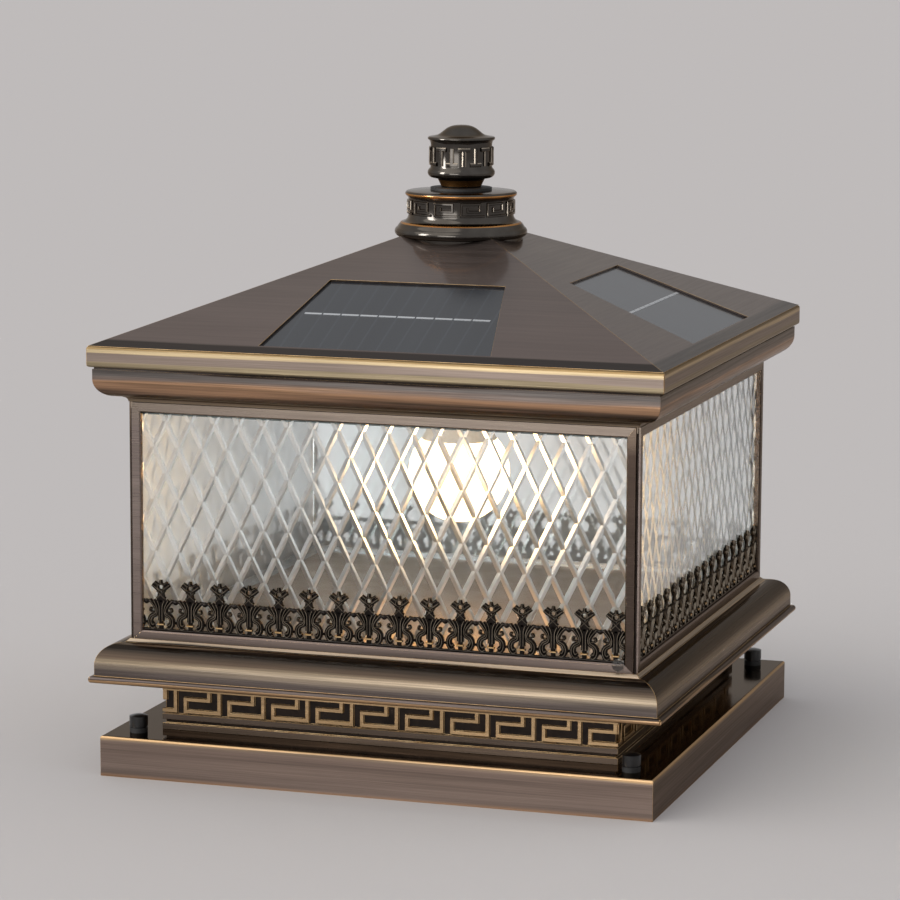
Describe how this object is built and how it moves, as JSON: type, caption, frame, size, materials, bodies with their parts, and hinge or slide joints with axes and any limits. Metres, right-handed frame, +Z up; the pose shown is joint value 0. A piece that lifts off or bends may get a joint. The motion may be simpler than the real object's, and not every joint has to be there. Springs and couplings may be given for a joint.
{
  "type": "solar pillar light",
  "caption": "Square solar pillar light: hipped roof with panel windows and turned finial, diamond-cut glass chamber with pierced scroll gallery, key-frieze neck and bolted base tray.",
  "frame": {"origin": "centre of the base's underside, where the light stands on the pillar", "axes": "+Z up, +X to the right and +Y to the back, seen from the face turned to the camera"},
  "size_m": [0.3098, 0.3098, 0.3365],
  "materials": {
    "antique_bronze": "satin antique bronze with worn edges",
    "brushed_trim": "brushed antique brass",
    "dark_cast": "blackened bronze with light edges",
    "cut_glass": "clear, diamond cut",
    "clear_acrylic": "clear, faceted",
    "zinc_steel": "zinc plated",
    "solar_cell": "dark cells under clear resin",
    "tinned_ribbon": "tinned",
    "black_plastic": "matte",
    "white_plate": "white enamel",
    "black_rubber": "matte",
    "ceramic": "glazed",
    "cell_sleeve": "shrink sleeve",
    "board": "solder mask",
    "board_component": "moulded",
    "bulb_glow": "milky, lit",
    "bulb_plastic": "white",
    "cap_metal": "rolled",
    "red_button": "gloss",
    "black_nut": "gloss"
  },
  "bodies": {
    "base": {"mounting_plate": "zinc_steel", "fixing_studs": "zinc_steel", "base_tray": "antique_bronze", "nut_washers": "black_rubber", "neck_boards": "antique_bronze", "neck_posts": "zinc_steel", "skirt_moulding": "antique_bronze", "floor_pan": "antique_bronze", "corner_posts": "antique_bronze", "chamber_ring": "antique_bronze", "glass_retainers": "zinc_steel", "frame_front": "antique_bronze", "frame_right": "antique_bronze", "frame_back": "antique_bronze", "frame_left": "antique_bronze", "glass_front": "cut_glass", "glass_right": "cut_glass", "glass_back": "cut_glass", "glass_left": "cut_glass", "gallery_front": "dark_cast", "gallery_right": "dark_cast", "gallery_back": "dark_cast", "gallery_left": "dark_cast", "clear_stud": "clear_acrylic"},
    "roof": {"eave_moulding": "antique_bronze", "fascia": "brushed_trim", "roof_shell": "antique_bronze", "solar_front": "solar_cell", "solar_right": "solar_cell", "solar_back": "solar_cell", "solar_left": "solar_cell", "solar_ribbons": "tinned_ribbon", "panel_cleats": "zinc_steel", "panel_junctions": "black_plastic", "ceiling_plate": "white_plate", "roof_gasket": "black_rubber", "lamp_holder": "ceramic", "battery_box": "black_plastic", "battery_lid": "black_plastic", "battery_cells": "cell_sleeve", "control_board": "board", "board_posts": "zinc_steel", "board_parts": "board_component", "leads": "black_rubber", "switch_housing": "black_plastic", "finial_collar": "antique_bronze", "knob_washer": "black_rubber", "finial_rod": "zinc_steel", "apex_block": "zinc_steel", "apex_nut": "zinc_steel", "roof_screws": "zinc_steel"},
    "knob": {"finial_knob": "antique_bronze"},
    "bulb": {"bulb_globe": "bulb_glow", "bulb_body": "bulb_plastic", "bulb_cap": "cap_metal"},
    "button": {"power_button": "red_button"},
    "cap_nut_front_left": {"cap_nut_front_left": "black_nut"},
    "cap_nut_front_right": {"cap_nut_front_right": "black_nut"},
    "cap_nut_back_right": {"cap_nut_back_right": "black_nut"},
    "cap_nut_back_left": {"cap_nut_back_left": "black_nut"}
  },
  "joints": [
    {"name": "roof_lift", "type": "slide", "parent": "base", "child": "roof", "axis": [0, 0, 1], "range_m": [0, 0.1]},
    {"name": "knob_turn", "type": "hinge", "parent": "roof", "child": "knob", "pos_m": [0, 0, 0.305], "axis": [0, 0, 1], "continuous": true},
    {"name": "bulb_turn", "type": "hinge", "parent": "roof", "child": "bulb", "pos_m": [0, 0, 0.18], "axis": [0, 0, 1], "continuous": true},
    {"name": "button_press", "type": "slide", "parent": "roof", "child": "button", "axis": [0, 0, 1], "range_m": [0, 0.0025], "stiffness_N_per_m": 300, "springref_m": -0.001},
    {"name": "nut_turn_front_left", "type": "hinge", "parent": "base", "child": "cap_nut_front_left", "pos_m": [-0.1345, -0.1345, 0.028], "axis": [0, 0, 1], "continuous": true},
    {"name": "nut_turn_front_right", "type": "hinge", "parent": "base", "child": "cap_nut_front_right", "pos_m": [0.1345, -0.1345, 0.028], "axis": [0, 0, 1], "continuous": true},
    {"name": "nut_turn_back_right", "type": "hinge", "parent": "base", "child": "cap_nut_back_right", "pos_m": [0.1345, 0.1345, 0.028], "axis": [0, 0, 1], "continuous": true},
    {"name": "nut_turn_back_left", "type": "hinge", "parent": "base", "child": "cap_nut_back_left", "pos_m": [-0.1345, 0.1345, 0.028], "axis": [0, 0, 1], "continuous": true}
  ]
}
